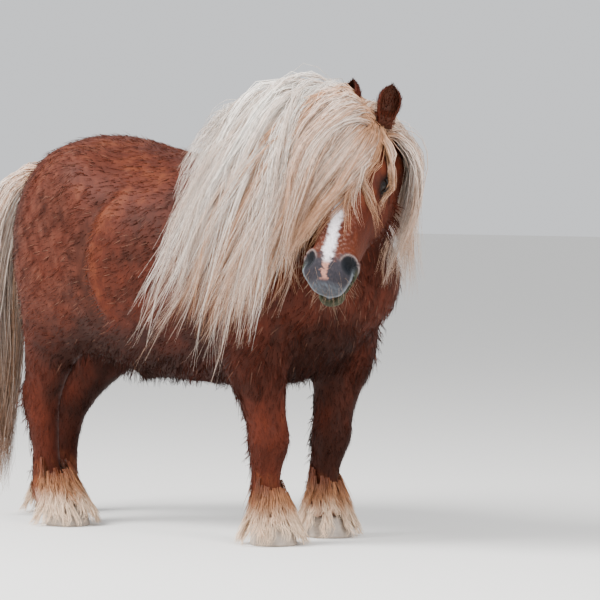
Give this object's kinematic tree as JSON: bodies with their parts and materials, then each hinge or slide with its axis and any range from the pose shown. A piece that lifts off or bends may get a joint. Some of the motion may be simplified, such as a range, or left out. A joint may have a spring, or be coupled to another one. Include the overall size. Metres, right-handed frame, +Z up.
{
  "type": "shetland pony",
  "caption": "Life-size still model of a standing chestnut Shetland pony with a flaxen mane blown by the wind, its head turned to its right.",
  "frame": {"origin": "bottom centre of the whole pony's box, on the floor that its hooves stand on", "axes": "+X the way the body faces, +Y the pony's left, +Z up"},
  "size_m": [1.509, 0.597, 1.1234],
  "materials": {
    "coat": "long chestnut winter coat",
    "mane_hair": "long flaxen mane hair over a chestnut neck",
    "tail_hair": "long flaxen tail hair, browner towards its end",
    "eye": "wet and dark",
    "horn": "dull grey hoof horn"
  },
  "bodies": {
    "root": {"torso": "coat", "neck": "mane_hair", "head": "coat", "tail": "tail_hair", "ear_left": "coat", "ear_right": "coat", "eye_left": "eye", "eye_right": "eye", "fore_leg_left": "coat", "fore_leg_right": "coat", "hind_leg_left": "coat", "hind_leg_right": "coat", "hoof_fore_left": "horn", "hoof_fore_right": "horn", "hoof_hind_left": "horn", "hoof_hind_right": "horn"}
  },
  "joints": []
}
